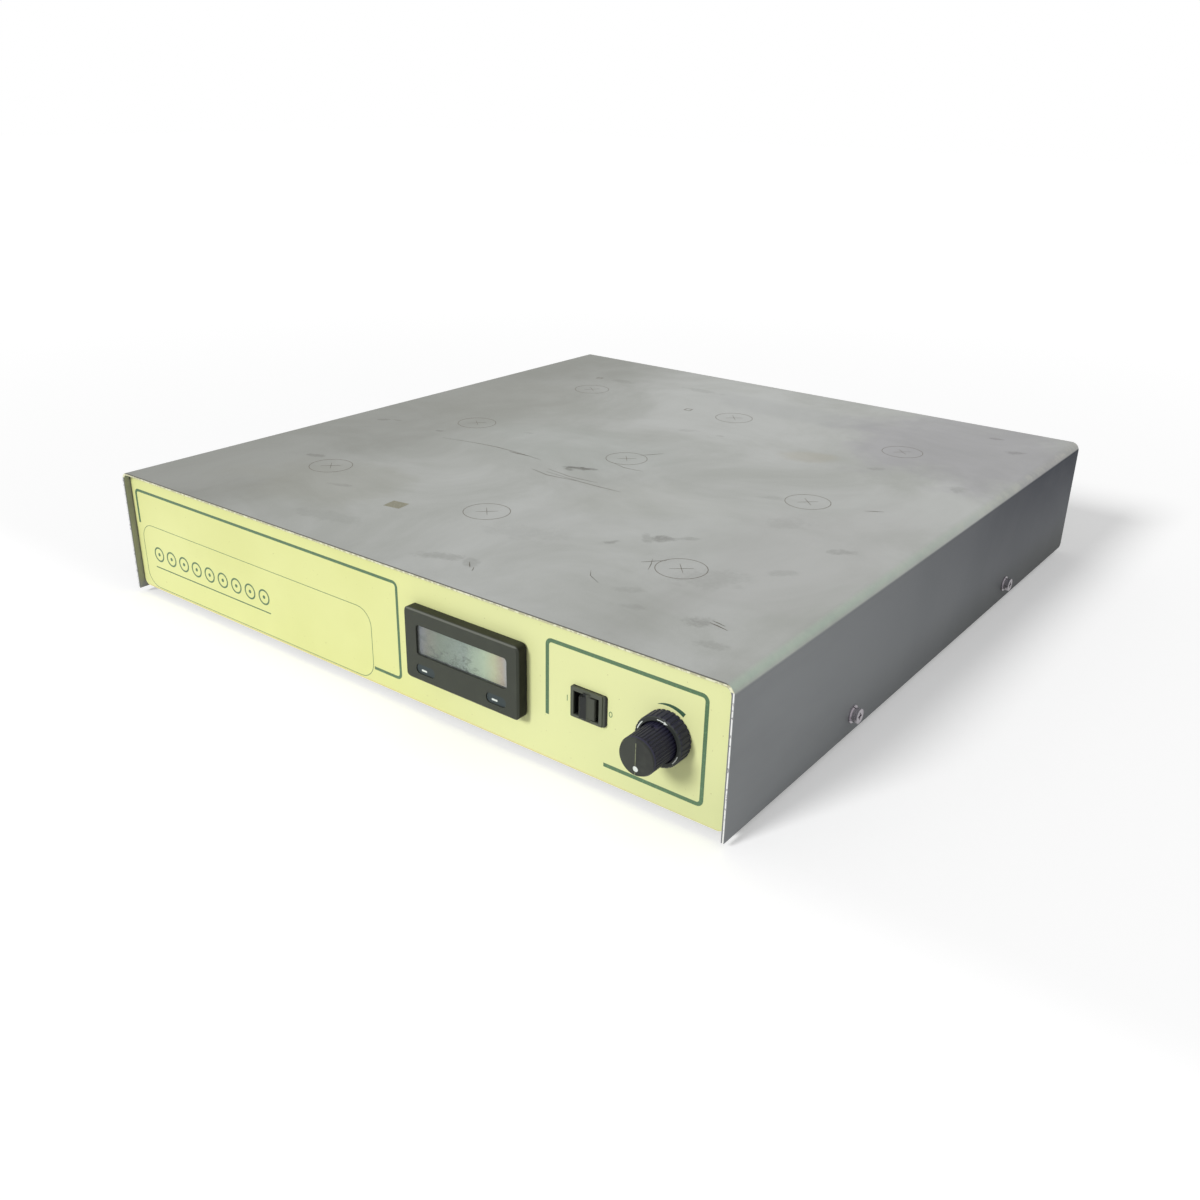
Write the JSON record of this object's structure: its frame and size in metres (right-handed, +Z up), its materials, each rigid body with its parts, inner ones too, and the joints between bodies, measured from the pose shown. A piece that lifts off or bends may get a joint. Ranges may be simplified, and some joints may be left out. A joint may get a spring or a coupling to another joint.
{
  "type": "multi-position magnetic stirrer",
  "caption": "Flat bench magnetic stirrer: folded steel cover over a tray, with a speed meter, rocker switch and locking speed knob on the front and belt-driven magnet rotors inside.",
  "frame": {"origin": "on the table plane, under the centre of the whole object's outline, knob included", "axes": "+Z up, the control panel faces -Y, +X to the right seen from the front"},
  "size_m": [0.4402, 0.4772, 0.0792],
  "materials": {
    "steel": "worn brushed stainless sheet, stained",
    "tray_steel": "folded stainless sheet",
    "overlay": "pale yellow-green printed plastic film, satin",
    "screw_steel": "plated steel",
    "rubber": "black moulded rubber",
    "deck_aluminium": "plain aluminium",
    "spindle_steel": "turned steel",
    "acetal": "white acetal with round magnets",
    "belt_rubber": "flat rubber belt",
    "motor_case": "black painted motor case",
    "meter_plastic": "black moulded plastic, fine grain",
    "lens": "clear lens",
    "lcd": "grey-green liquid crystal display, off",
    "key_rubber": "black rubber key",
    "gasket_rubber": "black sealing gasket",
    "switch_plastic": "black moulded plastic",
    "rocker_plastic": "black moulded rocker",
    "brass": "tinned brass",
    "knob_plastic": "black moulded plastic, satin",
    "inlet_plastic": "black moulded plastic",
    "fuse_glass": "glass tube fuses",
    "board": "green circuit board",
    "capacitor": "sleeved capacitors and header",
    "supply_case": "metal-cased supply",
    "loom": "sleeved wire bundle"
  },
  "bodies": {
    "root": {"top_cover": "steel", "base_tray": "tray_steel", "front_overlay": "overlay", "cover_screws": "screw_steel", "flat_washers": "screw_steel", "lock_washers": "screw_steel", "clinch_nuts": "screw_steel", "rubber_feet": "rubber", "foot_screws": "screw_steel", "drive_deck": "deck_aluminium", "deck_standoffs": "deck_aluminium", "deck_screws": "screw_steel", "motor_screws": "screw_steel", "spindle_posts": "spindle_steel", "thrust_washers": "acetal", "spindle_clips": "spindle_steel", "perimeter_belt": "belt_rubber", "drive_belt": "belt_rubber", "motor_body": "motor_case", "meter_case": "meter_plastic", "meter_lens": "lens", "lcd_panel": "lcd", "meter_gasket": "gasket_rubber", "meter_clip": "meter_plastic", "switch_housing": "switch_plastic", "switch_tabs": "brass", "speed_pot": "spindle_steel", "lock_base": "knob_plastic", "pot_nut": "screw_steel", "power_inlet": "inlet_plastic", "inlet_pins": "brass", "inlet_screws": "screw_steel", "control_board": "board", "board_posts": "deck_aluminium", "heat_sink": "deck_aluminium", "board_parts": "capacitor", "power_supply": "supply_case", "speed_sensor": "meter_plastic", "mains_loom": "loom", "signal_loom": "loom"},
    "rotor_5": {"stir_rotor_5": "acetal"},
    "rotor_1": {"stir_rotor_1": "acetal"},
    "rotor_2": {"stir_rotor_2": "acetal"},
    "rotor_3": {"stir_rotor_3": "acetal"},
    "rotor_4": {"stir_rotor_4": "acetal"},
    "rotor_6": {"stir_rotor_6": "acetal"},
    "rotor_7": {"stir_rotor_7": "acetal"},
    "rotor_8": {"stir_rotor_8": "acetal"},
    "rotor_9": {"stir_rotor_9": "acetal"},
    "motor_rotor": {"motor_shaft": "spindle_steel", "motor_pulley": "deck_aluminium"},
    "knob": {"speed_knob": "knob_plastic", "pot_shaft": "spindle_steel", "knob_set_screw": "screw_steel"},
    "ring": {"lock_ring": "knob_plastic"},
    "rocker": {"power_rocker": "rocker_plastic"},
    "left_key": {"left_meter_key": "key_rubber"},
    "right_key": {"right_meter_key": "key_rubber"},
    "fuse_tray": {"fuse_drawer": "inlet_plastic", "fuses": "fuse_glass"}
  },
  "joints": [
    {"name": "rotor_5_spin", "type": "hinge", "parent": "root", "child": "rotor_5", "pos_m": [0, 0.00375, 0.06], "axis": [0, 0, 1], "continuous": true},
    {"name": "rotor_1_spin", "type": "hinge", "parent": "root", "child": "rotor_1", "pos_m": [-0.1304, -0.12895, 0.06], "axis": [0, 0, 1], "continuous": true},
    {"name": "rotor_2_spin", "type": "hinge", "parent": "root", "child": "rotor_2", "pos_m": [0, -0.12895, 0.06], "axis": [0, 0, 1], "continuous": true},
    {"name": "rotor_3_spin", "type": "hinge", "parent": "root", "child": "rotor_3", "pos_m": [0.1304, -0.12895, 0.06], "axis": [0, 0, 1], "continuous": true},
    {"name": "rotor_4_spin", "type": "hinge", "parent": "root", "child": "rotor_4", "pos_m": [-0.1304, 0.00375, 0.06], "axis": [0, 0, 1], "continuous": true},
    {"name": "rotor_6_spin", "type": "hinge", "parent": "root", "child": "rotor_6", "pos_m": [0.1304, 0.00375, 0.06], "axis": [0, 0, 1], "continuous": true},
    {"name": "rotor_7_spin", "type": "hinge", "parent": "root", "child": "rotor_7", "pos_m": [-0.1304, 0.13645, 0.06], "axis": [0, 0, 1], "continuous": true},
    {"name": "rotor_8_spin", "type": "hinge", "parent": "root", "child": "rotor_8", "pos_m": [0, 0.13645, 0.06], "axis": [0, 0, 1], "continuous": true},
    {"name": "rotor_9_spin", "type": "hinge", "parent": "root", "child": "rotor_9", "pos_m": [0.1304, 0.13645, 0.06], "axis": [0, 0, 1], "continuous": true},
    {"name": "motor_spin", "type": "hinge", "parent": "root", "child": "motor_rotor", "pos_m": [0.098, 0.038, 0.05], "axis": [0, 0, 1], "continuous": true},
    {"name": "speed_turn", "type": "hinge", "parent": "root", "child": "knob", "pos_m": [0.1823, -0.225, 0.0424], "axis": [0, 1, 0], "range_deg": [0, 300]},
    {"name": "lock_turn", "type": "hinge", "parent": "root", "child": "ring", "pos_m": [0.1823, -0.219, 0.0424], "axis": [0, 1, 0], "range_deg": [0, 60]},
    {"name": "power_rock", "type": "hinge", "parent": "root", "child": "rocker", "pos_m": [0.13945, -0.21395, 0.04165], "axis": [0, 0, -1], "range_deg": [0, 30]},
    {"name": "left_key_press", "type": "slide", "parent": "root", "child": "left_key", "axis": [0, 1, 0], "range_m": [0, 0.0008], "stiffness_N_per_m": 300},
    {"name": "right_key_press", "type": "slide", "parent": "root", "child": "right_key", "axis": [0, 1, 0], "range_m": [0, 0.0008], "stiffness_N_per_m": 300},
    {"name": "fuse_drawer_slide", "type": "slide", "parent": "root", "child": "fuse_tray", "axis": [0, 1, 0], "range_m": [0, 0.02]}
  ],
  "couplings": [
    {"joint": "rotor_1_spin", "follows": "rotor_5_spin", "ratio": 1},
    {"joint": "rotor_2_spin", "follows": "rotor_5_spin", "ratio": -1},
    {"joint": "rotor_3_spin", "follows": "rotor_5_spin", "ratio": 1},
    {"joint": "rotor_4_spin", "follows": "rotor_5_spin", "ratio": -1},
    {"joint": "rotor_6_spin", "follows": "rotor_5_spin", "ratio": -1},
    {"joint": "rotor_7_spin", "follows": "rotor_5_spin", "ratio": 1},
    {"joint": "rotor_8_spin", "follows": "rotor_5_spin", "ratio": -1},
    {"joint": "rotor_9_spin", "follows": "rotor_5_spin", "ratio": 1},
    {"joint": "motor_spin", "follows": "rotor_5_spin", "ratio": 1.6202}
  ]
}
